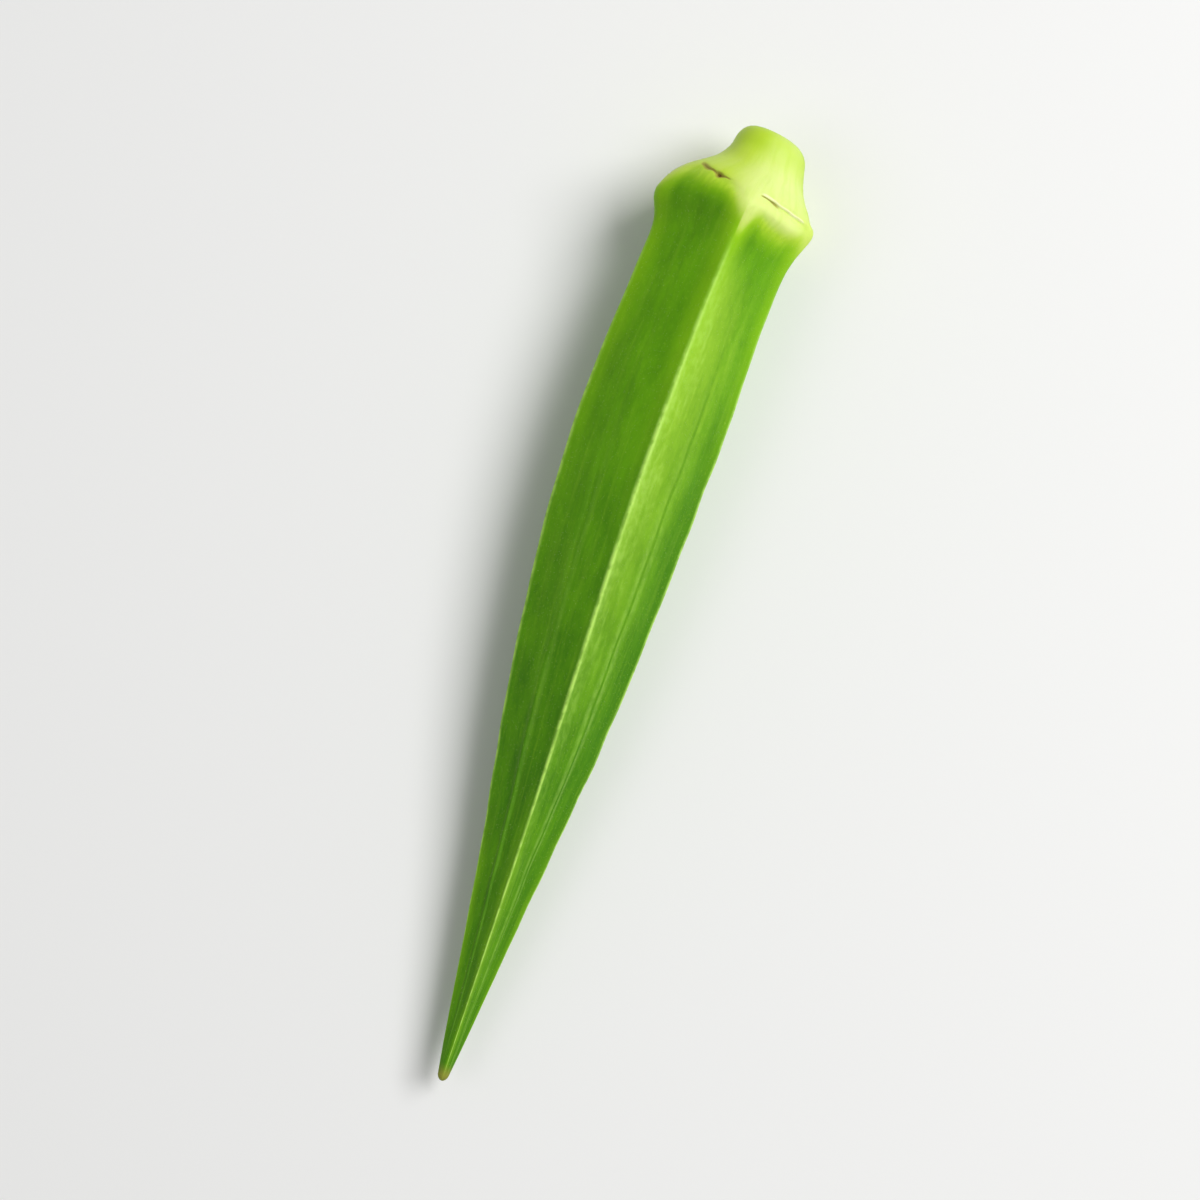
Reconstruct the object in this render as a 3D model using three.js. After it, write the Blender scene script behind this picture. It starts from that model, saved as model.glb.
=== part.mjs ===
// An okra pod as picked: a long tapering pod with five ridges, the swollen collar and pale cap that
// its flower left behind, and a short piece of cut stem. It grew as one piece, so it is one closed
// solid. It lies on its side along Y, with the stem towards +Y and the tip towards -Y. Millimetres,
// +Z up. The origin is under the middle of its box, on the surface that it lies on.
import * as THREE from 'three';

// Lengths along the pod are measured from its collar: positive towards the tip, negative to the stem.
const TIP_AT = 115.7;
const CUT_AT = -11.5;

// Where the ridges stand round the pod, in degrees from straight up towards +X. The facets between
// them are a little unequal, and the one from 144 to 216 lies on the surface.
const RIDGES_AT = [10, 80, 144, 216, 290];

// Distance of the ridges from the middle of the pod at each length along it.
const OUTLINE = [
  [-11.5, 4.65], [-9.9, 4.75], [-7.9, 5.25], [-6.3, 6.15], [-5.2, 7.3], [-3.9, 8.95], [-2.6, 10.1],
  [-1.3, 10.75], [-0.2, 10.85], [1, 10.5], [2.6, 9.85], [4.6, 9.4], [8, 9.25], [15, 9.4],
  [26, 9.72], [38, 9.5], [50, 8.8], [61, 7.85], [71, 6.7], [82, 5.1], [93, 3.6], [104, 2.2],
  [111, 1.3], [115.7, 0.6],
];

// How far the middle of a facet stands out from a flat pentagon, as a share of the ridge distance.
const BULGE = [
  [-3, 0.11], [0, 0.084], [3, 0.058], [7, 0.045], [25, 0.062], [50, 0.055], [70, 0.03], [85, -0.015],
  [100, -0.045], [115.7, -0.03],
];

// How wide the rounding of a ridge is, as a share of half a facet: soft on the cap, sharp on the body.
const ROUNDING = [
  [-11.5, 0.5], [-4, 0.45], [-1, 0.28], [3, 0.16], [9, 0.06], [100, 0.05], [115.7, 0.2],
];

// Sideways bend of the pod's middle line, whose stem leans over to one side.
const BEND = [
  [-11.5, 1.3], [-9.5, 1.25], [-7.5, 1.15], [-5.9, 0.95], [-4, 0.1], [-2, -0.5], [0, -0.75],
  [15, -1.6], [38, -2], [60, -1.4], [82, -0.6], [115.7, 0.1],
];

// The swelling at the collar end of each ridge: its height, its place along the pod and its length.
const KNOBS = [[0.05, 0, 1.5], [0.1, -0.6, 1.3], [0.2, 0, 1.8], [0.25, 0.8, 1.6], [0.4, 2, 2.2]];
const KNOB_WIDTH = 0.5;       // width of a swelling, as a share of half a facet

const REST_HEIGHT = 9.54;     // height of the middle line at the collar
const PITCH = 0.046;          // fall of the middle line towards the tip, per length
const TWIST = -0.0006;        // turn of the ridges about the middle line, radians per millimetre
const CREST = 0.014;          // extra height of the sharp crest on each ridge, as a share
const CREST_WIDTH = 0.1;      // width of that crest, as a share of half a facet
const CREST_FROM = 0.5;       // it rises from the collar, starting here
const CREST_FULL = 9;         // and has its full height here
const MID_LINE_WIDTH = 0.11;  // width of the line down the middle of a facet, likewise
const MID_CREASE = -0.008;    // that line sinks in on the body
const MID_RIB = 0.04;         // and stands out as a fine rib near the tip
const SEAM_AT = -2.35;        // where the cap meets the collar, in the middle of a facet
const SEAM_DIP = 1.5;         // how far the cap runs down each ridge
const SEAM_LEAN = 1.3;        // how far the seam leans over from one side to the other
const SEAM_DEPTH = 0.16;
const SEAM_WIDTH = 0.5;
const COLLAR_AT = -2.35;      // the whole collar leans over near here
const COLLAR_DIP = 0.3;       // how far its corners lie towards the tip
const COLLAR_SKEW = 2.2;      // how far one side of it lies towards the stem
const COLLAR_REACH = 3.6;     // length along the pod over which dip and skew die out
const CUT_EDGE = 2.2;         // rounding of the edge of the cut stem
const CUT_SLANT = 0.13;       // slope of the cut
const CUT_REACH = 2.5;        // length over which that slope dies out
const TIP_ROUND = 0.8;        // rounding of the tip
const PITH = 0.55;            // size of the pith in the cut face, as a share of the face
const CUT_HOLLOW = 0.25;      // the pith shrinks back by this much

// Places across half a facet, from its middle to a ridge, where the solid has a line of vertices.
const ACROSS = [0, 0.13, 0.5, 0.84, 1];

const { degToRad, lerp, smoothstep } = THREE.MathUtils;
const bell = (distance, width) => Math.exp(-((distance / width) ** 2));

// A smooth value through a list of [place, value] pairs.
function through(pairs, place) {
  const last = pairs.length - 1;
  const next = pairs.findIndex(([at]) => at >= place);
  if (next <= 0) return next < 0 ? pairs[last][1] : pairs[0][1];
  const slope = (i) => {
    const [a, b] = [pairs[Math.max(i - 1, 0)], pairs[Math.min(i + 1, last)]];
    return (b[1] - a[1]) / (b[0] - a[0]);
  };
  const [[x0, y0], [x1, y1]] = [pairs[next - 1], pairs[next]];
  const span = x1 - x0;
  const f = (place - x0) / span;
  const rise = y0 + f * f * (3 - 2 * f) * (y1 - y0);
  return rise + span * f * (1 - f) * ((1 - f) * slope(next - 1) - f * slope(next));
}

// Distance of the ridges from the middle line, with the rounded cut edge and the rounded tip.
function ridgeRadius(along) {
  let radius = through(OUTLINE, along);
  const fromCut = along - CUT_AT;
  if (fromCut < CUT_EDGE) radius -= CUT_EDGE - Math.sqrt(CUT_EDGE ** 2 - (CUT_EDGE - fromCut) ** 2);
  const fromTip = TIP_AT - along;
  if (fromTip < TIP_ROUND) radius *= Math.sqrt(Math.max(0, 1 - (1 - fromTip / TIP_ROUND) ** 2));
  return radius;
}

// Where the cap's edge crosses this place round the pod.
const seamPlace = ({ across, angle }) => {
  return SEAM_AT + SEAM_DIP * Math.abs(across) ** 3 + SEAM_LEAN * Math.sin(angle);
};

// Distance of the surface from the middle line. Across runs from -1 at one ridge, through 0 in the
// middle of the facet, to 1 at the next ridge, and halfFacet is the angle of half that facet.
function surfaceRadius(along, place) {
  const { across, halfFacet, nearestRidge } = place;
  const toRidge = 1 - Math.abs(across);
  const rounding = through(ROUNDING, along);
  const softened = (Math.hypot(toRidge, rounding) - rounding) / (Math.hypot(1, rounding) - rounding);
  const edge = 1 - softened;
  const flat = Math.cos(halfFacet) / Math.cos(edge * halfFacet);
  const bulge = through(BULGE, along) * (1 - edge ** 1.5);
  const crestShare = smoothstep(along, CREST_FROM, CREST_FULL);
  const crest = CREST * (crestShare * bell(toRidge, CREST_WIDTH) - 1);
  const line = lerp(MID_CREASE, MID_RIB, smoothstep(along, 45, 92)) * bell(across, MID_LINE_WIDTH);
  const stemRound = 1 - smoothstep(along, -7.5, -0.5);
  const tipRound = smoothstep(along, 106, TIP_AT);
  const section = lerp(flat + bulge + crest + line, 1, Math.max(stemRound, tipRound));
  const onFacet = 1 - smoothstep(Math.abs(across), 0.55, 0.95);
  const seam = SEAM_DEPTH * bell(along - seamPlace(place), SEAM_WIDTH) * onFacet;
  const [height, knobAt, knobLength] = KNOBS[nearestRidge];
  const knob = height * bell(toRidge, KNOB_WIDTH) * bell(along - knobAt, knobLength);
  return ridgeRadius(along) * section - seam + knob;
}

// A point of the surface: angle 0 is straight up and grows towards +X.
function surfacePoint(along, { across, angle }, radius) {
  const turned = angle + TWIST * along;
  const sideways = radius * Math.sin(turned);
  const nearCollar = bell(along - COLLAR_AT, COLLAR_REACH);
  const collarShift = COLLAR_DIP * Math.abs(across) ** 3 - COLLAR_SKEW * Math.sin(angle);
  const cutShift = CUT_SLANT * sideways * bell(along - CUT_AT, CUT_REACH);
  const lean = Math.atan((through(BEND, along + 3) - through(BEND, along - 3)) / 6);
  const x = through(BEND, along) + sideways * Math.cos(lean);
  const y = -(along + nearCollar * collarShift + cutShift) + sideways * Math.sin(lean);
  const z = REST_HEIGHT - PITCH * along + radius * Math.cos(turned);
  return [x, y, Math.max(z, 0)];
}

// The lengths along the pod where the solid has a ring of vertices, close together at the collar.
function ringPlaces() {
  const places = [];
  const quarter = (n, i) => (i / n) * (Math.PI / 2);
  for (let i = 0; i < 5; i += 1) places.push(CUT_AT + CUT_EDGE * (1 - Math.cos(quarter(5, i))));
  const stretches = [[CUT_AT + CUT_EDGE, -3.6, 1], [-3.6, 2.4, 0.5], [2.4, 10, 1.27], [10, 100, 2.5],
    [100, TIP_AT - TIP_ROUND, 1.62]];
  for (const [from, to, step] of stretches) {
    const count = Math.round((to - from) / step);
    for (let i = 0; i < count; i += 1) places.push(lerp(from, to, i / count));
  }
  for (let i = 0; i < 3; i += 1) places.push(TIP_AT - TIP_ROUND * (1 - Math.sin(quarter(3, i))));
  return places;
}

// Every place round the pod: its angle, and how far it is across its facet.
function placesRound() {
  const crossing = [...ACROSS.slice(1).reverse().map((a) => -a), ...ACROSS.slice(0, -1)];
  return RIDGES_AT.flatMap((ridge, i) => {
    const next = RIDGES_AT[i + 1] ?? RIDGES_AT[0] + 360;
    const halfFacet = degToRad(next - ridge) / 2;
    const middle = degToRad(next + ridge) / 2;
    return crossing.map((across) => {
      const nearestRidge = across > 0 ? (i + 1) % RIDGES_AT.length : i;
      return { across, halfFacet, nearestRidge, angle: middle + across * halfFacet };
    });
  });
}

// One closed skin: a fan over the cut face, bands between the rings, and a fan to the tip.
function podGeometry() {
  const round = placesRound();
  const ringAt = (along, share) => round.map((place) => {
    return surfacePoint(along, place, share * surfaceRadius(along, place));
  });
  const onMiddleLine = (along) => surfacePoint(along, { across: 0, angle: 0 }, 0);
  const rings = [ringAt(CUT_AT, PITH), ...ringPlaces().map((along) => ringAt(along, 1))];
  const vertices = [onMiddleLine(CUT_AT + CUT_HOLLOW), ...rings.flat(), onMiddleLine(TIP_AT)];

  const count = round.length;
  const faces = [];
  const tip = vertices.length - 1;
  const lastRing = tip - count;
  for (let i = 0; i < count; i += 1) {
    const j = (i + 1) % count;
    faces.push(0, 1 + i, 1 + j);
    faces.push(tip, lastRing + j, lastRing + i);
    for (let ring = 0; ring < rings.length - 1; ring += 1) {
      const a = 1 + ring * count;
      const b = a + count;
      faces.push(a + i, b + i, b + j);
      faces.push(a + i, b + j, a + j);
    }
  }
  const geometry = new THREE.BufferGeometry();
  geometry.setAttribute('position', new THREE.Float32BufferAttribute(vertices.flat(), 3));
  geometry.setIndex(faces);
  geometry.computeVertexNormals();
  return geometry;
}

const podSkin = new THREE.MeshStandardMaterial({ color: 0x6fa32a, roughness: 0.6, metalness: 0 });

const pod = new THREE.Mesh(podGeometry(), podSkin);
pod.name = 'okra_pod';
pod.geometry.computeBoundingBox();
const middle = pod.geometry.boundingBox.getCenter(new THREE.Vector3());
pod.position.set(-middle.x, -middle.y, 0);

const okra = new THREE.Group();
okra.add(pod);

export default okra;
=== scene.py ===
import bpy
import numpy as np
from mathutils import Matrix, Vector


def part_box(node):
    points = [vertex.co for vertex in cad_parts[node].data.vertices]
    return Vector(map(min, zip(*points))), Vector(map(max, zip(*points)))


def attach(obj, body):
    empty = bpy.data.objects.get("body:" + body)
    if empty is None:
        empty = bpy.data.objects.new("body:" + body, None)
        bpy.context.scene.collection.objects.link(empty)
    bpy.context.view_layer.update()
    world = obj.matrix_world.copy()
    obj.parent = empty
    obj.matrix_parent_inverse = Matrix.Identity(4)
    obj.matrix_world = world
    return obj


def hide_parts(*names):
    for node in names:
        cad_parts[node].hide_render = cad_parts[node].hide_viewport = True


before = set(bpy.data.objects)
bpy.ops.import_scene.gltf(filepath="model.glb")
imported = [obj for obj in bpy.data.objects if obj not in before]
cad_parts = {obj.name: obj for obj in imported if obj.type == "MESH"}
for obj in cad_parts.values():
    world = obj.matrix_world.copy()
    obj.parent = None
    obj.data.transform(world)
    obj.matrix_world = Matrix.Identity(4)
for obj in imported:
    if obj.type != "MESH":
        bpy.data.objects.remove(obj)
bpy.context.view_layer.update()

# The pod's form: a tapering five-sided pod that grew as one piece with its collar, cap and stem.
# Lengths along it are measured from the collar, positive towards the tip. Each facet swells a little
# between two ridges, with a crease down its middle that turns into a fine rib near the tip.
MM = 0.001
TIP_AT = 115.7
CUT_AT = -11.5
# The directions of the ridges in degrees, from straight up towards +X.
RIDGES_AT = np.array([10, 80, 144, 216, 290])
# Along the pod: how far a ridge stands from the middle line, how much the facets swell as a share of
# that, how rounded the ridges are as a share of half a facet, and how the middle line bends sideways.
OUTLINE = [
    (-11.5, 4.65), (-9.9, 4.75), (-7.9, 5.25), (-6.3, 6.15), (-5.2, 7.3), (-3.9, 8.95), (-2.6, 10.1),
    (-1.3, 10.75), (-0.2, 10.85), (1, 10.5), (2.6, 9.85), (4.6, 9.4), (8, 9.25), (15, 9.4), (26, 9.72),
    (38, 9.5), (50, 8.8), (61, 7.85), (71, 6.7), (82, 5.1), (93, 3.6), (104, 2.2), (111, 1.3),
    (115.7, 0.6),
]
BULGE = [
    (-3, 0.11), (0, 0.084), (3, 0.058), (7, 0.045), (25, 0.062), (50, 0.055), (70, 0.03),
    (85, -0.015), (100, -0.045), (115.7, -0.03),
]
ROUNDING = [
    (-11.5, 0.5), (-4, 0.45), (-1, 0.28), (3, 0.16), (9, 0.06), (100, 0.05), (115.7, 0.2),
]
BEND = [
    (-11.5, 1.3), (-9.5, 1.25), (-7.5, 1.15), (-5.9, 0.95), (-4, 0.1), (-2, -0.5), (0, -0.75),
    (15, -1.6), (38, -2), (60, -1.4), (82, -0.6), (115.7, 0.1),
]
BULGE_POWER = 1.5
# The middle line: its height at the collar, its fall towards the tip, the turn of the ridges about it,
# and the half length over which its lean is taken.
REST_HEIGHT = 9.54
PITCH = 0.046
TWIST = -0.0006
LEAN_REACH = 3
# The sharp crest on each ridge, and the crease or rib down the middle of each facet.
CREST = 0.014
CREST_WIDTH = 0.1
CREST_FROM = 0.5
CREST_FULL = 9
MID_LINE_WIDTH = 0.11
MID_CREASE = -0.008
MID_RIB = 0.04
MID_RIB_FROM = 45
MID_RIB_FULL = 92
# The stem and the tip are round: where each roundness fades or grows.
STEM_ROUND_TO = -7.5
CAP_ROUND_TO = -0.5
TIP_ROUND_FROM = 106
# The seam where the cap meets the collar, which leans over and runs down each ridge.
SEAM_AT = -2.35
SEAM_DIP = 1.5
SEAM_LEAN = 1.3
SEAM_DEPTH = 0.16
SEAM_WIDTH = 0.5
SEAM_ENDS = (0.55, 0.95)
# The collar leans over too, and has a knob on each ridge: its height, its place and its length.
COLLAR_AT = -2.35
COLLAR_DIP = 0.3
COLLAR_SKEW = 2.2
COLLAR_REACH = 3.6
KNOBS = [(0.05, 0, 1.5), (0.1, -0.6, 1.3), (0.2, 0, 1.8), (0.25, 0.8, 1.6), (0.4, 2, 2.2)]
KNOB_WIDTH = 0.5
# The slanted cut of the stem with its shrunken pith, and the blunt tip.
CUT_EDGE = 2.2
CUT_SLANT = 0.13
CUT_REACH = 2.5
CUT_HOLLOW = 0.25
PITH = 0.55
TIP_ROUND = 0.8


def bell(distance, width):
    return np.exp(-((distance / width) ** 2))


def ramp(place, low, high):
    f = np.clip((place - low) / (high - low), 0, 1)
    return f * f * (3 - 2 * f)


def blend(a, b, share):
    return a + (b - a) * share


def through(pairs, place):
    """A smooth value through a list of (place, value) pairs."""
    at, value = np.array(pairs, float).T
    last = len(at) - 1
    after = np.clip(np.searchsorted(at, place), 1, last)
    ends = np.arange(last + 1)
    left, right = np.maximum(ends - 1, 0), np.minimum(ends + 1, last)
    slope = (value[right] - value[left]) / (at[right] - at[left])
    span = at[after] - at[after - 1]
    f = np.clip((place - at[after - 1]) / span, 0, 1)
    rise = blend(value[after - 1], value[after], f * f * (3 - 2 * f))
    return rise + span * f * (1 - f) * ((1 - f) * slope[after - 1] - f * slope[after])


def ridge_radius(along):
    radius = through(OUTLINE, along)
    from_cut = np.clip((along - CUT_AT) / CUT_EDGE, 0, 1)
    radius = radius - CUT_EDGE * (1 - np.sqrt(1 - (1 - from_cut) ** 2))
    from_tip = np.clip((TIP_AT - along) / TIP_ROUND, 0, 1)
    return radius * np.sqrt(1 - (1 - from_tip) ** 2)


def seam_place(across, angle):
    return SEAM_AT + SEAM_DIP * np.abs(across) ** 3 + SEAM_LEAN * np.sin(angle)


def surface_radius(along, across, half_facet, angle):
    """The skin's distance from the middle line. Across is -1 and 1 on the ridges beside a facet."""
    rounding = through(ROUNDING, along)
    from_ridge = np.hypot(1 - np.abs(across), rounding) - rounding
    edge = 1 - from_ridge / (np.hypot(1, rounding) - rounding)
    flat = np.cos(half_facet) / np.cos(edge * half_facet)
    bulge = through(BULGE, along) * (1 - edge ** BULGE_POWER)
    crest_share = ramp(along, CREST_FROM, CREST_FULL)
    crest = CREST * (crest_share * bell(1 - np.abs(across), CREST_WIDTH) - 1)
    line_height = blend(MID_CREASE, MID_RIB, ramp(along, MID_RIB_FROM, MID_RIB_FULL))
    line = line_height * bell(across, MID_LINE_WIDTH)
    stem_round = 1 - ramp(along, STEM_ROUND_TO, CAP_ROUND_TO)
    tip_round = ramp(along, TIP_ROUND_FROM, TIP_AT)
    section = blend(flat + bulge + crest + line, 1, np.maximum(stem_round, tip_round))
    on_facet = 1 - ramp(np.abs(across), *SEAM_ENDS)
    seam = SEAM_DEPTH * bell(along - seam_place(across, angle), SEAM_WIDTH) * on_facet
    ridge = np.argmin(np.abs(np.mod(np.degrees(angle) - RIDGES_AT[:, None] + 180, 360) - 180), axis=0)
    height, knob_at, knob_length = np.array(KNOBS)[ridge].T
    knob = height * bell(1 - np.abs(across), KNOB_WIDTH) * bell(along - knob_at, knob_length)
    return ridge_radius(along) * section - seam + knob


def surface_point(along, across, angle, radius):
    near_collar = bell(along - COLLAR_AT, COLLAR_REACH)
    shift = near_collar * (COLLAR_DIP * np.abs(across) ** 3 - COLLAR_SKEW * np.sin(angle))
    turned = angle + TWIST * along
    sideways = radius * np.sin(turned)
    shift = shift + CUT_SLANT * sideways * bell(along - CUT_AT, CUT_REACH)
    bend_change = through(BEND, along + LEAN_REACH) - through(BEND, along - LEAN_REACH)
    lean = np.arctan(bend_change / (2 * LEAN_REACH))
    x = through(BEND, along) + sideways * np.cos(lean)
    y = -(along + shift) + sideways * np.sin(lean)
    z = REST_HEIGHT - PITCH * along + radius * np.cos(turned)
    return np.stack(np.broadcast_arrays(x, y, np.maximum(z, 0)), axis=-1)


# The pod's skin mesh: one closed grid of rings, closest at the scars, with the same middle line and
# outline as the solid that it stands for, and finer waves and scars than that solid has. Each stretch
# of the pod has a first place, a last place and the gap between its rings.
ACROSS_FACET = 48
EDGE_CROWDING = 0.5
ROUNDED_RINGS = 9
STRETCHES = [
    (CUT_AT + CUT_EDGE, -3.8, 0.25), (-3.8, -1.2, 0.075), (-1.2, 3, 0.15), (3, 110, 0.42),
    (110, TIP_AT - TIP_ROUND, 0.3),
]
step = np.arange(-ACROSS_FACET / 2, ACROSS_FACET / 2) * 2 / ACROSS_FACET
crossing = step - EDGE_CROWDING * np.sin(2 * np.pi * step) / (2 * np.pi)
ridges = np.radians(np.append(RIDGES_AT, RIDGES_AT[0] + 360))
halves = np.diff(ridges) / 2
across = np.tile(crossing, len(halves))
half_facet = np.repeat(halves, ACROSS_FACET)
angle = np.repeat(ridges[:-1] + halves, ACROSS_FACET) + across * half_facet

quarter = np.linspace(0, np.pi / 2, ROUNDED_RINGS)[:-1]
places = [CUT_AT + CUT_EDGE * (1 - np.cos(quarter))]
for near, far, gap in STRETCHES:
    places.append(np.linspace(near, far, round((far - near) / gap), endpoint=False))
places.append(TIP_AT - TIP_ROUND * (1 - np.sin(quarter)))
along = np.concatenate(places)[:, None]

# Where the flower's leaves broke away, each facet keeps a scar under the edge of the cap. It runs from
# one place across the facet to another, and each end has its own place along the pod. Then come the
# share of it that is brown, its depth, its width, its sag in the middle, and how much of a pale flap
# it has above and of a swollen lip below.
SCARS = [
    (-0.9, 0.65, -2.3, -0.75, 0.36, 0.26, 0.2, 0.25, 1.0),
    (-0.5, 0.6, -1.1, -1.3, 0.7, 0.18, 0.15, 0.1, 0.4),
    (-0.6, 0.45, -2.4, -2.2, 0.8, 0.18, 0.15, 0.1, 0.2),
    (-0.4, 0.6, -3.6, -3.3, 0.6, 0.2, 0.18, 0.2, 0.6),
    (-0.62, 0.5, -4.1, -2.75, 1.0, 0.14, 0.2, 0.1, 0.08),
]
# One scar has a dark pit: its facet, its place across it, its width, its length and its depth.
PIT = (4, 0.12, 0.1, 0.3, 0.32)
# What each reach gives is where along the scar a form starts, is full, begins to fade and ends.
SCAR_REACH = (0, 0.12, 0.88, 1)
SCAR_WANDER = 0.07
SCAR_UNEVEN = 0.3
SCAR_THINNEST = 0.06
LIP_REACH = (-0.05, 0.4, 0.75, 1.22)
LIP_BELOW = 1.45
LIP_WIDTH = 0.85
LIP_HEIGHT = 0.42
FLAP_ABOVE = 0.36
FLAP_WIDTH = 0.25
FLAP_HEIGHT = 0.16
# Low waves in the skin: their height, and where along the pod they show.
BODY_WAVES = 0.03
BODY_WAVES_REACH = (4, 12, 90, 108)
CAP_WAVES = 0.04
CAP_WAVES_END = (-2, 0)


def ripples(seed, along, angle, length, turns, count=28):
    """Seeded waves over the skin, about 1 high, that join up round the pod."""
    draw = np.random.default_rng(seed)
    total = np.zeros(np.broadcast(along, angle).shape)
    for _ in range(count):
        wave = draw.uniform(0.5, 1.6) * 2 * np.pi / length
        spin = draw.integers(-turns, turns + 1)
        total += np.cos(wave * along + spin * angle + draw.uniform(0, 2 * np.pi))
    return total / np.sqrt(count / 2)


def ripples_round(seed, turns):
    """Seeded waves that are the same all along the pod."""
    return ripples(seed, 0, angle, 1, turns)


def plateau(place, start, full, fade, end):
    """1 between full and fade, and 0 before start and after end."""
    return ramp(place, start, full) * (1 - ramp(place, fade, end))


facet = np.repeat(np.arange(len(SCARS)), ACROSS_FACET)
scar_from, scar_to, place_from, place_to, brown_share, scar_depth, scar_width, sag, lid = (
    np.array(SCARS)[facet].T
)
share_along = (across - scar_from) / (scar_to - scar_from)
arched = np.clip(4 * share_along * (1 - share_along), 0, 1)
scar_line = blend(place_from, place_to, share_along) + SCAR_WANDER * ripples_round(11, turns=24)
scar_line = scar_line + sag * arched
scar_reach = plateau(share_along, *SCAR_REACH)
scar_width = scar_width * (1 + SCAR_UNEVEN * ripples_round(12, turns=20))
scar = bell(along - scar_line, np.maximum(scar_width, SCAR_THINNEST)) * scar_reach
pit_facet, pit_across, pit_width, pit_length, pit_depth = PIT
pit = (facet == pit_facet) * bell(across - pit_across, pit_width) * bell(along - scar_line, pit_length)
lip = lid * bell(along - scar_line - LIP_BELOW, LIP_WIDTH) * plateau(share_along, *LIP_REACH)
flap = lid * bell(along - scar_line + FLAP_ABOVE, FLAP_WIDTH) * scar_reach

body_waves = ripples(3, along, angle, length=11, turns=7) * plateau(along, *BODY_WAVES_REACH)
cap_waves = ripples(5, along, angle, length=5, turns=6) * (1 - ramp(along, *CAP_WAVES_END))
radius = surface_radius(along, across, half_facet, angle)
radius = radius - scar_depth * scar - pit_depth * pit + LIP_HEIGHT * lip + FLAP_HEIGHT * flap
radius = radius + BODY_WAVES * body_waves + CAP_WAVES * cap_waves
skin = surface_point(along, across, angle, radius)

# The cut face closes the stem with a few rings, hollowed where the pith shrank, and each end of the
# grid closes on one point.
FACE_RINGS = np.array([0.25, 0.5, 0.75, 0.95])
HOLLOW_EDGE = (0.3, 0.8)
face_share = FACE_RINGS[:, None]
face_hollow = CUT_HOLLOW * (1 - ramp(face_share, *HOLLOW_EDGE))
face_radius = face_share * surface_radius(np.array([CUT_AT]), across, half_facet, angle)
cut_face = surface_point(CUT_AT + face_hollow, across, angle, face_radius)
rings = np.concatenate([cut_face, skin])
face_middle = surface_point(np.array([CUT_AT + CUT_HOLLOW]), 0, 0, 0)
tip_point = surface_point(np.array([TIP_AT]), 0, 0, 0)
points = np.concatenate([face_middle, rings.reshape(-1, 3), tip_point])

count = len(angle)
around = np.arange(count)
next_round = np.roll(around, -1)
ring_start = 1 + np.arange(len(rings) - 1)[:, None] * count
first, second = ring_start + around, ring_start + next_round
bands = np.stack([first, first + count, second + count, second], axis=-1).reshape(-1, 4)
cut_fan = np.stack([np.zeros(count, int), 1 + around, 1 + next_round], axis=-1)
last_point = len(points) - 1
last_ring = last_point - count
tip_fan = np.stack([np.full(count, last_point), last_ring + next_round, last_ring + around], axis=-1)

box_low, box_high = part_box("okra_pod")
middle = (points.max(0) + points.min(0)) / 2
points = (points - [middle[0], middle[1], 0]) * MM
points = points + [(box_low.x + box_high.x) / 2, (box_low.y + box_high.y) / 2, 0]


def new_piece(name, corners, faces):
    """A smooth object of these points and faces, in the scene."""
    mesh = bpy.data.meshes.new(name)
    mesh.from_pydata(corners, [], faces)
    mesh.shade_smooth()
    made = bpy.data.objects.new(name, mesh)
    bpy.context.scene.collection.objects.link(made)
    return made


pod = new_piece("pod", points.tolist(), bands.tolist() + cut_fan.tolist() + tip_fan.tolist())

# What the skin finish reads at each point. "place" is the place along the pod, the nearness to a ridge
# and how far out it is on the cut face. "marks" is the distance below the edge of the cap, how brown
# and how raised the skin is. "facet" is how much painted light the facet takes and the place across
# it. "straight" is the same point on a straight round bar, so that what follows it keeps its grain
# along the pod.
# How much painted light each facet takes: most on the facet between the ridges at 10 and 80 degrees.
LIT_FACETS = np.array([1.0, 0.3, 0.0, 0.05, 0.0])
SEAM_WANDER = 0.15
PALE_REACH = (-0.22, 0.0, 0.95, 1.25)
PALE_BELOW = (2.0, 1.4)
PALE_SAG = 0.5
STAIN = 0.75
STAIN_FADE = 0.15
FAR_ABOVE_SEAM = -9.0
FAR_BELOW_SEAM = 99.0
BAR_RADIUS = 9


def on_every_point(value, at_cut, at_tip):
    spread = np.broadcast_to(value, (len(rings), count)).reshape(-1)
    return np.concatenate([[at_cut], spread, [at_tip]])


def paint(name, *numbers):
    """Keeps three numbers for each point of the pod."""
    kept = pod.data.attributes.new(name, "FLOAT_VECTOR", "POINT")
    kept.data.foreach_set("vector", np.stack(numbers, axis=-1).astype(np.float32).ravel())


on_face = np.zeros((len(FACE_RINGS), count))
place_rows = np.concatenate([on_face + CUT_AT, along + np.zeros(count)])
place = on_every_point(place_rows, CUT_AT, TIP_AT)
nearness = on_every_point(np.abs(across), 0, 0)
outness = np.concatenate([FACE_RINGS, np.ones(len(along))])[:, None]
paint("place", place, nearness, on_every_point(outness, 0, 1))

seam_line = seam_place(across, angle) + SEAM_WANDER * ripples_round(13, turns=14)
pale_below = blend(*PALE_BELOW, np.clip(share_along, 0, 1)) + PALE_SAG * arched
pale_below = pale_below * lid * plateau(share_along, *PALE_REACH)
seam_line = blend(seam_line, scar_line, scar_reach) + pale_below
stained = 1 - ramp(share_along, brown_share - STAIN_FADE, brown_share + STAIN_FADE)
seam_rows = np.concatenate([on_face + FAR_ABOVE_SEAM, along - seam_line])
brown_rows = np.concatenate([on_face, np.maximum(STAIN * scar * stained, pit)])
raised_rows = np.concatenate([on_face, lip - flap])
below_edge = on_every_point(seam_rows, FAR_ABOVE_SEAM, FAR_BELOW_SEAM)
paint("marks", below_edge, on_every_point(brown_rows, 0, 0), on_every_point(raised_rows, 0, 0))

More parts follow.
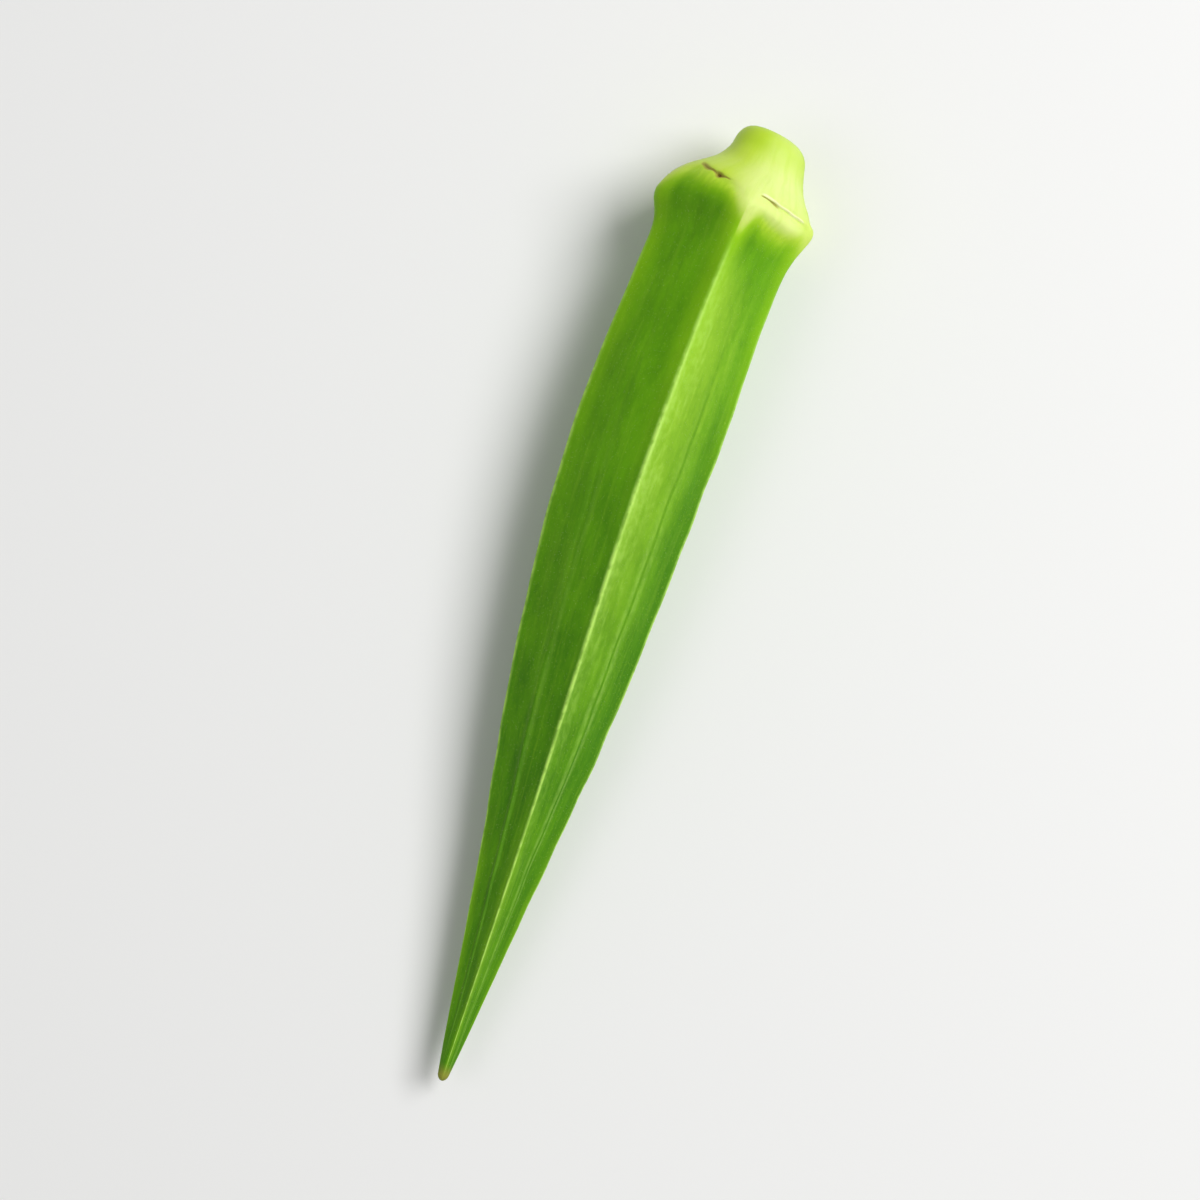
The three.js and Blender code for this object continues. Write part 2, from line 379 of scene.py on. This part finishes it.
facet_lit_share = on_every_point(LIT_FACETS[facet], 0, 0)
paint("facet", facet_lit_share, on_every_point(across, 0, 0), 0 * place)
bar_x = on_every_point(BAR_RADIUS * np.sin(angle), 0, 0)
bar_y = on_every_point(BAR_RADIUS * np.cos(angle), 0, 0)
paint("straight", bar_x, bar_y, place)


# The pod's skin finish: matte green skin, paler on the ridges and yellow-green at collar, cap and stem,
# with soft mottling, fine streaks along the pod, light and shade painted on the side towards the light,
# and a velvety bloom. It reads what is painted on the points, so it stays with the skin.
class Wire:
    """A shader socket: an expression with it adds Math nodes, and node() adds any other node."""

    def __init__(self, tree, socket=None):
        self.tree = tree
        self.socket = socket

    def node(self, kind, settings, inputs, output=0):
        made = self.tree.nodes.new("ShaderNode" + kind)
        for name, value in settings.items():
            setattr(made, name, value)
        for name, value in inputs.items():
            if isinstance(value, Wire):
                self.tree.links.new(value.socket, made.inputs[name])
            else:
                made.inputs[name].default_value = value
        return Wire(self.tree, made.outputs[output])

    def maths(self, operation, *values):
        return self.node("Math", {"operation": operation}, dict(enumerate(values)))

    def __add__(self, other):
        return self.maths("ADD", self, other)

    def __sub__(self, other):
        return self.maths("SUBTRACT", self, other)

    def __rsub__(self, other):
        return self.maths("SUBTRACT", other, self)

    def __mul__(self, other):
        return self.maths("MULTIPLY", self, other)

    def __abs__(self):
        return self.maths("ABSOLUTE", self)

    __radd__ = __add__
    __rmul__ = __mul__

    def part(self, axis):
        """One number of this vector."""
        return self.node("SeparateXYZ", {}, {0: self}, axis)

    def between(self, low, high, start=0.0, end=1.0):
        """Start where this is at low, end where it is at high, and a smooth change between."""
        sockets = {"Value": self, "From Min": low, "From Max": high, "To Min": start, "To Max": end}
        return self.node("MapRange", {"interpolation_type": "SMOOTHSTEP"}, sockets)

    def colour(self, first, second, strength=1.0):
        """The first colour where this is 0, and the second, at that strength, where it is 1."""
        return self.node("Mix", {"data_type": "RGBA"}, {0: self * strength, 6: first, 7: second}, 2)

    def noise(self, scale, stretch, detail=3.0):
        """Cloudy noise on this vector, scale spots to the millimetre, longer along the pod."""
        squeezed = self.node("VectorMath", {"operation": "MULTIPLY"}, {0: self, 1: (1, 1, 1 / stretch)})
        return self.node("TexNoise", {}, {"Vector": squeezed, "Scale": scale, "Detail": detail})


def new_finish(name, values):
    """A material with these plain values on its shader's own sockets."""
    made = bpy.data.materials.new(name)
    made.use_nodes = True
    for socket, value in values.items():
        made.node_tree.nodes["Principled BSDF"].inputs[socket].default_value = value
    return made


# Besides the skin's own colours, some of these also paint light and shade: the deepest green is also
# painted shade, the paler body green is the painted lit side as well as the colour of streaks and
# specks, and the crest green, the paler cap colour and the pale flap colour are also painted
# highlights.
DEEP_AND_SHADE_GREEN = (0.048, 0.195, 0.0004, 1)
FRESH_GREEN = (0.134, 0.385, 0.0006, 1)
LIT_AND_STREAK_GREEN = (0.310, 0.570, 0.030, 1)
CREST_AND_HIGHLIGHT_GREEN = (0.520, 0.830, 0.150, 1)
COLLAR_GREEN = (0.290, 0.600, 0.004, 1)
CAP_GREEN = (0.590, 0.790, 0.072, 1)
CAP_PALE_AND_HIGHLIGHT = (0.740, 0.870, 0.270, 1)
STEM_GREEN = (0.500, 0.720, 0.040, 1)
SCAR_BROWN = (0.150, 0.070, 0.012, 1)
LIP_GREEN = (0.560, 0.790, 0.050, 1)
FLAP_PALE_AND_GLINT = (0.860, 0.880, 0.480, 1)
DRY_EDGE = (0.360, 0.300, 0.050, 1)
CUT_GREEN = (0.480, 0.620, 0.160, 1)
PITH_PALE = (0.700, 0.740, 0.420, 1)
BLOOM_TINT = (0.7, 1.0, 0.3, 1)
GLOW_DEPTHS = (0.6, 1.0, 0.2)
skin_finish = new_finish("pod_skin", {
    "Specular IOR Level": 0.17,
    "Subsurface Weight": 0.12,
    "Subsurface Radius": GLOW_DEPTHS,
    "Subsurface Scale": 1.5 * MM,
    "Sheen Weight": 0.03,
    "Sheen Roughness": 0.5,
    "Sheen Tint": BLOOM_TINT,
})
skin_tree = skin_finish.node_tree


def painted(name):
    return Wire(skin_tree).node("Attribute", {"attribute_name": name}, {}, "Vector")


# Where on the pod a point is, and how far it is turned towards the side where light is painted on.
LIT_SIDE_FROM = np.radians(32)
read_place = painted("place")
straight = painted("straight")
along_pod = read_place.part("X")
to_ridge = 1 - read_place.part("Y")
share_out = read_place.part("Z")
read_facet = painted("facet")
facet_lit = read_facet.part("X")
across_facet = read_facet.part("Y")
read_marks = painted("marks")
below_seam = read_marks.part("X")
browned = read_marks.part("Y")
raised = read_marks.part("Z")
lit_x = straight.part("X") * (np.sin(LIT_SIDE_FROM) / BAR_RADIUS)
lit_y = straight.part("Y") * (np.cos(LIT_SIDE_FROM) / BAR_RADIUS)
to_lit_side = lit_x + lit_y

# The green of the body: cloudy and deeper towards the tip. Light is painted on the side towards the
# light:
# a paler painted lit side that starts below the collar in a slanting flame and has a ragged edge, a
# painted highlight beside the main crest, and painted shade on the far side of that facet.
CLOUDY = 0.34
GRAINY = 0.14
DEEPER = 0.52
FLAME_SLANT = 3.5
EDGE_RAGGED = 0.35
EDGE_GRAINY = 0.15
LIT_LOST = 0.93
HIGHLIGHT_LOST = 0.75
STREAKED = 0.14
SPECKED = 0.2
mottle = straight.noise(scale=0.35, stretch=2.5).between(0.3, 0.7)
grain = straight.noise(scale=1.6, stretch=1.8, detail=2.0).between(0.28, 0.72)
streaks = straight.noise(scale=1.5, stretch=22).between(0.48, 0.75)
specks = straight.noise(scale=4.0, stretch=1.3, detail=1.0).between(0.63, 0.72)
towards_tip = along_pod.between(12, 80)
green = (mottle * CLOUDY + grain * GRAINY + towards_tip * DEEPER).colour(FRESH_GREEN, DEEP_AND_SHADE_GREEN)
ragged = straight.noise(scale=1.1, stretch=9).between(0.3, 0.7)
from_crest = across_facet + ragged * EDGE_RAGGED + grain * EDGE_GRAINY
flame = along_pod - across_facet * FLAME_SLANT
# Painted lit side: the facet towards the light is paler from its crest across, less so towards the tip.
painted_lit = facet_lit * from_crest.between(-0.75, 1.15, start=1.0, end=0.0) * flame.between(5, 15)
painted_lit = painted_lit * (1 - towards_tip * LIT_LOST) * mottle.between(0, 1, start=1.0, end=0.82)
green = painted_lit.colour(green, LIT_AND_STREAK_GREEN)
# Painted highlight along the main crest of the lit facet, fading towards the tip.
painted_highlight = facet_lit * from_crest.between(-0.2, -0.85) * flame.between(7, 15)
painted_highlight = painted_highlight * (1 - towards_tip * HIGHLIGHT_LOST) * grain.between(0, 1, start=0.5, end=0.25)
green = painted_highlight.colour(green, CREST_AND_HIGHLIGHT_GREEN)
# Painted shade on the far half of the lit facet.
painted_far_shade = facet_lit.between(0, 0.3) * across_facet.between(0.1, 0.8) * along_pod.between(14, 36)
green = painted_far_shade.colour(green, DEEP_AND_SHADE_GREEN, strength=0.65)
beside_crest = along_pod.between(46, 6, end=0.52) + along_pod.between(74, 92, end=0.28)
green = (to_ridge.between(0.5, 0.0) * beside_crest).colour(green, COLLAR_GREEN)
green = (streaks * STREAKED + specks * SPECKED).colour(green, LIT_AND_STREAK_GREEN)

# A pale beaded line on each crest; and on the lit side, painted shade in the crease down the middle of
# a facet, with painted highlights on either side of it.
LINE_WANDER = 0.18
beads = straight.noise(scale=1.3, stretch=1.6, detail=2.0).between(0.38, 0.6, start=0.5, end=1.0)
crest_line = to_ridge.between(0.085, 0.01) * along_pod.between(2, 9) * beads
crest_line = crest_line * along_pod.between(4, 30, start=0.4, end=0.82)
green = crest_line.colour(green, CREST_AND_HIGHLIGHT_GREEN)
wander = straight.noise(scale=0.3, stretch=4, detail=1.0) * LINE_WANDER - LINE_WANDER / 2
from_middle = abs(across_facet + wander)
on_lit_side = to_lit_side.between(0.4, 0.9, start=0.2, end=1.0)
# Painted highlights on either side of the middle crease, on the lit side only.
painted_crease_highlight = from_middle.between(0.02, 0.07) * from_middle.between(0.24, 0.1)
painted_crease_highlight = painted_crease_highlight * beads * along_pod.between(12, 60) * on_lit_side
green = painted_crease_highlight.colour(green, CREST_AND_HIGHLIGHT_GREEN, strength=0.22)
# Painted shade in the middle crease, on the lit side only.
painted_crease_shade = from_middle.between(0.06, 0.01) * along_pod.between(8, 30) * beads * on_lit_side
green = painted_crease_shade.colour(green, DEEP_AND_SHADE_GREEN, strength=0.4)

# The yellow-green collar, the pale cap that runs out along the ridges, and the stem, with a painted
# highlight on the lit side of cap and stem.
CAP_EDGE = 0.7
CAP_DOWN_RIDGE = 2.0
CAP_LIT_SHARE = 0.85
STEM_LIT_SHARE = 0.4
ridge_streak = to_ridge.between(0.5, 0.05) * below_seam.between(7, 0.8)
green = ridge_streak.colour(green, COLLAR_GREEN, strength=0.85)
collar = below_seam.between(3.4, 0.2) * grain.between(0, 1, start=1.0, end=0.85)
green = collar.colour(green, COLLAR_GREEN, strength=0.9)
fringe = below_seam.between(1.9, 0.2) * grain.between(0, 1, start=0.75, end=0.5)
green = fringe.colour(green, LIP_GREEN)
green = raised.between(0.0, 1.1).colour(green, LIP_GREEN, strength=0.85)
on_ridge = to_ridge.between(0.4, 0.05)
beak = on_ridge * below_seam.between(3.2, 0.2)
green = beak.colour(green, LIP_GREEN, strength=0.7)
cap = below_seam.between(on_ridge * CAP_DOWN_RIDGE + CAP_EDGE, -0.8)
# The side towards the light, where the cap is paler with a painted highlight, partly broken by
# mottling.
painted_lit_side = to_lit_side.between(0.6, 0.98)
cap_green = (painted_lit_side * CAP_LIT_SHARE + mottle * (1 - CAP_LIT_SHARE)).colour(CAP_GREEN, CAP_PALE_AND_HIGHLIGHT)
cap_streaks = straight.noise(scale=1.0, stretch=4).between(0.45, 0.8)
cap_green = cap_streaks.colour(cap_green, STEM_GREEN, strength=0.3)
green = cap.colour(green, cap_green)
# The stem green thins on the lit side, so the painted highlight shows on the stem too.
stem = along_pod.between(-5.5, -9.5) * (1 - painted_lit_side * STEM_LIT_SHARE)
green = stem.colour(green, STEM_GREEN)

# The scars with their flaps, whose pale edges also carry a painted glint, the dry tip, and the cut face
# with its pith and ring of bundles.
# Each flap's edge is pale, and also a painted glint.
green = raised.between(-0.15, -0.8).colour(green, FLAP_PALE_AND_GLINT, strength=0.9)
green = browned.between(0.04, 0.45).colour(green, DRY_EDGE, strength=0.8)
green = browned.between(0.5, 0.95).colour(green, SCAR_BROWN, strength=0.95)
tip_end = along_pod.between(113.2, 115.2)
green = tip_end.colour(green, DRY_EDGE, strength=0.7)
cut = share_out.between(0.99, 0.96)
bundles = share_out.between(PITH, 0.68) * share_out.between(0.88, 0.76)
bundles = bundles * straight.noise(scale=0.9, stretch=1).between(0.4, 0.6)
cut_green = share_out.between(PITH, 0.4).colour(CUT_GREEN, PITH_PALE)
cut_green = bundles.colour(cut_green, DRY_EDGE, strength=0.6)
green = cut.colour(green, cut_green)

# The cap is a little smoother than the body, and fine fibres and bumps break up the gloss.
BODY_ROUGHNESS = 0.5
CAP_ROUGHNESS = 0.38
GRAIN_ROUGHNESS = 0.06
FIBROUS = 0.6
BUMP_STRENGTH = 0.3
BUMP_HEIGHT = 0.12 * MM
roughness = cap.between(0, 1, BODY_ROUGHNESS, CAP_ROUGHNESS) + grain * GRAIN_ROUGHNESS
fibres = straight.noise(scale=3.2, stretch=9, detail=4.0)
bumps = straight.noise(scale=2.4, stretch=1.3, detail=3.0)
relief = fibres * FIBROUS + bumps * (1 - FIBROUS)
bump = relief.node("Bump", {}, {"Height": relief, "Strength": BUMP_STRENGTH, "Distance": BUMP_HEIGHT})
skin_shader = skin_tree.nodes["Principled BSDF"]
for name, wire in {"Base Color": green, "Roughness": roughness, "Normal": bump}.items():
    skin_tree.links.new(wire.socket, skin_shader.inputs[name])
pod.data.materials.append(skin_finish)
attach(pod, "root")
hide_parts("okra_pod")

# Fine down: short pale hairs rooted in the skin that lean towards the tip, none where the pod lies.
# Each is a thin spike with three feet and an end.
DOWN_SEED = 21
DOWN_COUNT = 12000
DOWN_LENGTH = (0.12, 0.32)
DOWN_THICK = 0.012
DOWN_ROOT = 0.03
DOWN_LEAN = (0, -0.7, 0)
DOWN_SPREAD = 0.3
DOWN_FACES = ([0, 1, 3], [1, 2, 3], [2, 0, 3], [2, 1, 0])
DOWN_GREEN = (0.55, 0.74, 0.26, 1)
# A hair grows only where a step out from its root is clear of the floor, and it ends above the floor.
CLEAR_STEP = 2
CLEAR_HEIGHT = 0.5
LOWEST_END = 0.1
NEVER_ZERO = (1e-6, 0, 0)


def unit(rows):
    return rows / np.linalg.norm(rows, axis=1)[:, None]


draw = np.random.default_rng(DOWN_SEED)
grid = points[1:-1].reshape(len(rings), count, 3)[len(FACE_RINGS):]
corner = grid[:-1].reshape(-1, 3)
step_down = grid[1:].reshape(-1, 3) - corner
step_round = np.roll(grid, -1, axis=1)[:-1].reshape(-1, 3) - corner
outward = np.cross(step_down, step_round)
area = np.linalg.norm(outward, axis=1)
picked = draw.choice(len(area), DOWN_COUNT, p=area / area.sum())
share_down, share_round = draw.random((2, DOWN_COUNT, 1))
root = corner[picked] + share_down * step_down[picked] + share_round * step_round[picked]
normal = outward[picked] / area[picked][:, None]
clear = root[:, 2] + CLEAR_STEP * normal[:, 2] * MM > CLEAR_HEIGHT * MM
root, normal = root[clear], normal[clear]
growth = unit(normal + DOWN_LEAN + draw.normal(0, DOWN_SPREAD, root.shape))
sideways = unit(np.cross(growth, [0, 0, 1]) + NEVER_ZERO)
across_hair = np.cross(growth, sideways)
hair_root = root - DOWN_ROOT * MM * normal
hair_end = root + growth * draw.uniform(*DOWN_LENGTH, (len(root), 1)) * MM
hair_end[:, 2] = np.maximum(hair_end[:, 2], LOWEST_END * MM)
turns = np.radians([0, 120, 240])
feet = [hair_root + DOWN_THICK * MM * (np.cos(t) * sideways + np.sin(t) * across_hair) for t in turns]
hair_points = np.stack(feet + [hair_end], axis=1).reshape(-1, 3)
first_corner = (len(turns) + 1) * np.arange(len(root))[:, None]
hair_faces = np.concatenate([first_corner + row for row in DOWN_FACES])
down = new_piece("down", hair_points.tolist(), hair_faces.tolist())
down_finish = new_finish("fine_down", {
    "Base Color": DOWN_GREEN,
    "Roughness": 0.6,
    "Specular IOR Level": 0.2,
})
down.data.materials.append(down_finish)
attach(down, "root")

# The surface it lies on: one wide sheet of matte white board, level with the underside of the pod.
FLOOR_SIDE = 3.0
FLOOR_WHITE = (0.86, 0.86, 0.85, 1)
half = FLOOR_SIDE / 2
floor_corners = [(-half, -half, 0), (half, -half, 0), (half, half, 0), (-half, half, 0)]
floor = new_piece("floor", floor_corners, [(0, 1, 2, 3)])
floor.data.materials.append(new_finish("white_board", {"Base Color": FLOOR_WHITE, "Roughness": 0.8}))

# Camera: a long lens that looks down on the pod from the side that shows its main ridge right of the
# middle, turned so that the stem end leans over to the right.
CAMERA_TURN = 19
CAMERA_HEIGHT = 84
CAMERA_AWAY = 0.62
LENS = 100
SEEN_WIDTH = 0.152
POD_MIDDLE = Vector((0, 0, 0.009))


def aim_at_pod(name, data, turn, height, away):
    """A camera or light that far from the pod: turn is from its tip end, height from the floor."""
    made = bpy.data.objects.new(name, data)
    sideways_turn, up = np.radians(turn), np.radians(height)
    flat = np.cos(up)
    towards = Vector((np.sin(sideways_turn) * flat, -np.cos(sideways_turn) * flat, np.sin(up)))
    made.location = POD_MIDDLE + away * towards
    made.rotation_euler = (np.radians(90 - height), 0, sideways_turn)
    bpy.context.scene.collection.objects.link(made)
    return made


camera_data = bpy.data.cameras.new("camera")
camera_data.lens = LENS
camera_data.sensor_width = LENS * SEEN_WIDTH / CAMERA_AWAY
camera = aim_at_pod("camera", camera_data, CAMERA_TURN, CAMERA_HEIGHT, CAMERA_AWAY)
bpy.context.scene.camera = camera

# Light: a large soft key from the upper right of the picture, a weak fill from the left, and an even
# white surround.
SURROUND_WHITE = (1, 1, 1, 1)
SURROUND_STRENGTH = 0.27


def softbox(name, turn, height, away, side, watts):
    data = bpy.data.lights.new(name, "AREA")
    data.size = side
    data.energy = watts
    aim_at_pod(name, data, turn, height, away)


softbox("key", turn=CAMERA_TURN + 105, height=53, away=0.9, side=0.55, watts=7.4)
softbox("fill", turn=CAMERA_TURN - 80, height=55, away=1.0, side=0.6, watts=1.0)
world = bpy.data.worlds.new("surround")
world.use_nodes = True
surround = world.node_tree.nodes["Background"]
surround.inputs["Color"].default_value = SURROUND_WHITE
surround.inputs["Strength"].default_value = SURROUND_STRENGTH
bpy.context.scene.world = world
bpy.context.scene.view_settings.view_transform = "Standard"
